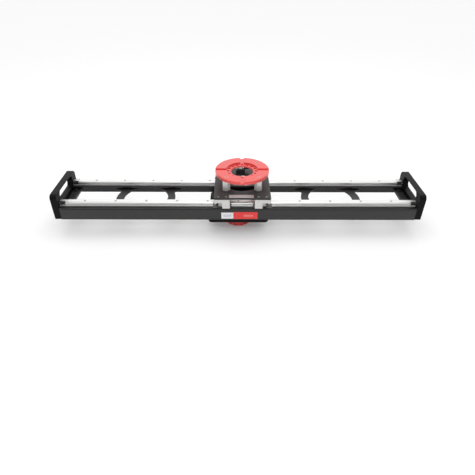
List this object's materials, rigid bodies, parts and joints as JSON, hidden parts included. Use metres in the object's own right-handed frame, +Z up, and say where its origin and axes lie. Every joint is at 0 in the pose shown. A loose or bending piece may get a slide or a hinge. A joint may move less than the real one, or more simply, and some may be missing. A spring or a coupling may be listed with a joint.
{
  "type": "camera slider",
  "caption": "Long camera slider: two black beams with round-rod rails, end handles, and a rolling carriage with a red round head plate on four pillars.",
  "frame": {"origin": "under the middle of the tie-down nut, at its underside, the lowest point; midway between the end plates and between the beams", "axes": "+X along the rails to the right end, +Y across them to the rear, +Z up"},
  "size_m": [1.204, 0.21, 0.1956],
  "materials": {
    "black_anodised": "satin black anodised aluminium",
    "dark_anodised": "satin dark grey anodised aluminium",
    "silver_anodised": "satin silver anodised aluminium",
    "polished_steel": "polished hardened steel",
    "red_anodised": "satin red anodised aluminium",
    "black_rubber": "matt black rubber",
    "white_nylon": "satin white nylon",
    "white_badge": "glossy white plastic",
    "red_badge": "glossy red plastic",
    "black_plastic": "satin black plastic"
  },
  "bodies": {
    "base": {"front_beam": "black_anodised", "front_rail_body": "silver_anodised", "front_inner_rod": "polished_steel", "front_outer_rod": "polished_steel", "rear_beam": "black_anodised", "rear_rail_body": "silver_anodised", "rear_inner_rod": "polished_steel", "rear_outer_rod": "polished_steel", "left_end_plate": "black_anodised", "right_end_plate": "black_anodised", "left_cross_plate": "dark_anodised", "right_cross_plate": "dark_anodised", "left_bowl_ring": "dark_anodised", "right_bowl_ring": "dark_anodised", "centre_mount_plate": "black_anodised", "mount_stud": "polished_steel", "badge_white": "white_badge", "badge_red": "red_badge", "bumper_front_inner_left": "black_rubber", "bumper_front_outer_left": "black_rubber", "bumper_rear_inner_left": "black_rubber", "bumper_rear_outer_left": "black_rubber", "bumper_front_inner_right": "black_rubber", "bumper_front_outer_right": "black_rubber", "bumper_rear_inner_right": "black_rubber", "bumper_rear_outer_right": "black_rubber"},
    "tie_down_nut": {"tie_down_nut": "red_anodised"},
    "carriage": {"carriage_plate": "dark_anodised", "top_mount_disc": "red_anodised", "name_plate": "silver_anodised", "drag_block": "black_anodised", "truck_front_left": "silver_anodised", "truck_front_right": "silver_anodised", "truck_rear_left": "silver_anodised", "truck_rear_right": "silver_anodised", "axle_front_1": "polished_steel", "axle_front_2": "polished_steel", "axle_front_3": "polished_steel", "axle_front_4": "polished_steel", "axle_rear_1": "polished_steel", "axle_rear_2": "polished_steel", "axle_rear_3": "polished_steel", "axle_rear_4": "polished_steel", "standoff_front_left": "silver_anodised", "standoff_front_right": "silver_anodised", "standoff_rear_left": "silver_anodised", "standoff_rear_right": "silver_anodised"},
    "brake_lever": {"brake_lever": "black_plastic"},
    "brake_pad": {"brake_pad": "black_rubber"},
    "drag_knob": {"drag_knob": "black_plastic"},
    "drag_pad": {"drag_pad": "black_rubber"},
    "wheel_front_1": {"wheel_front_1": "white_nylon"},
    "wheel_front_2": {"wheel_front_2": "white_nylon"},
    "wheel_front_3": {"wheel_front_3": "white_nylon"},
    "wheel_front_4": {"wheel_front_4": "white_nylon"},
    "wheel_rear_1": {"wheel_rear_1": "white_nylon"},
    "wheel_rear_2": {"wheel_rear_2": "white_nylon"},
    "wheel_rear_3": {"wheel_rear_3": "white_nylon"},
    "wheel_rear_4": {"wheel_rear_4": "white_nylon"}
  },
  "joints": [
    {"name": "carriage_slide", "type": "slide", "parent": "base", "child": "carriage", "axis": [1, 0, 0], "range_m": [-0.4803, 0.4557]},
    {"name": "wheel_front_1_spin", "type": "hinge", "parent": "carriage", "child": "wheel_front_1", "pos_m": [-0.0742, -0.0903, 0.1119], "axis": [0, 0, 1], "range_deg": [-3000, 3000]},
    {"name": "wheel_front_2_spin", "type": "hinge", "parent": "carriage", "child": "wheel_front_2", "pos_m": [-0.0322, -0.0903, 0.1119], "axis": [0, 0, 1], "range_deg": [-3000, 3000]},
    {"name": "wheel_front_3_spin", "type": "hinge", "parent": "carriage", "child": "wheel_front_3", "pos_m": [0.0568, -0.0903, 0.1119], "axis": [0, 0, 1], "range_deg": [-3000, 3000]},
    {"name": "wheel_front_4_spin", "type": "hinge", "parent": "carriage", "child": "wheel_front_4", "pos_m": [0.0988, -0.0903, 0.1119], "axis": [0, 0, 1], "range_deg": [-3000, 3000]},
    {"name": "wheel_rear_1_spin", "type": "hinge", "parent": "carriage", "child": "wheel_rear_1", "pos_m": [-0.0742, 0.0903, 0.1119], "axis": [0, 0, 1], "range_deg": [-3000, 3000]},
    {"name": "wheel_rear_2_spin", "type": "hinge", "parent": "carriage", "child": "wheel_rear_2", "pos_m": [-0.0322, 0.0903, 0.1119], "axis": [0, 0, 1], "range_deg": [-3000, 3000]},
    {"name": "wheel_rear_3_spin", "type": "hinge", "parent": "carriage", "child": "wheel_rear_3", "pos_m": [0.0568, 0.0903, 0.1119], "axis": [0, 0, 1], "range_deg": [-3000, 3000]},
    {"name": "wheel_rear_4_spin", "type": "hinge", "parent": "carriage", "child": "wheel_rear_4", "pos_m": [0.0988, 0.0903, 0.1119], "axis": [0, 0, 1], "range_deg": [-3000, 3000]},
    {"name": "brake_lever_turn", "type": "hinge", "parent": "carriage", "child": "brake_lever", "pos_m": [0.008, 0.076, 0.15], "axis": [0, 0, 1], "range_deg": [0, 90]},
    {"name": "brake_pad_lift", "type": "slide", "parent": "carriage", "child": "brake_pad", "axis": [0, 0, 1], "range_m": [0, 0.0003]},
    {"name": "drag_knob_turn", "type": "hinge", "parent": "carriage", "child": "drag_knob", "pos_m": [-0.0797, -0.072, 0.1375], "axis": [1, 0, 0], "range_deg": [0, 180]},
    {"name": "drag_pad_lift", "type": "slide", "parent": "carriage", "child": "drag_pad", "axis": [0, 0, 1], "range_m": [0, 0.0006]},
    {"name": "nut_turn", "type": "hinge", "parent": "base", "child": "tie_down_nut", "pos_m": [0, 0, 0.01], "axis": [0, 0, 1], "range_deg": [-360, 360]}
  ],
  "couplings": [
    {"joint": "wheel_front_1_spin", "follows": "carriage_slide", "rad_per_m": 106.38},
    {"joint": "wheel_front_2_spin", "follows": "carriage_slide", "rad_per_m": 106.38},
    {"joint": "wheel_front_3_spin", "follows": "carriage_slide", "rad_per_m": 106.38},
    {"joint": "wheel_front_4_spin", "follows": "carriage_slide", "rad_per_m": 106.38},
    {"joint": "wheel_rear_1_spin", "follows": "carriage_slide", "rad_per_m": -106.38},
    {"joint": "wheel_rear_2_spin", "follows": "carriage_slide", "rad_per_m": -106.38},
    {"joint": "wheel_rear_3_spin", "follows": "carriage_slide", "rad_per_m": -106.38},
    {"joint": "wheel_rear_4_spin", "follows": "carriage_slide", "rad_per_m": -106.38},
    {"joint": "brake_pad_lift", "follows": "brake_lever_turn", "m_per_rad": 0.00015915},
    {"joint": "drag_pad_lift", "follows": "drag_knob_turn", "m_per_rad": 0.00015915}
  ]
}
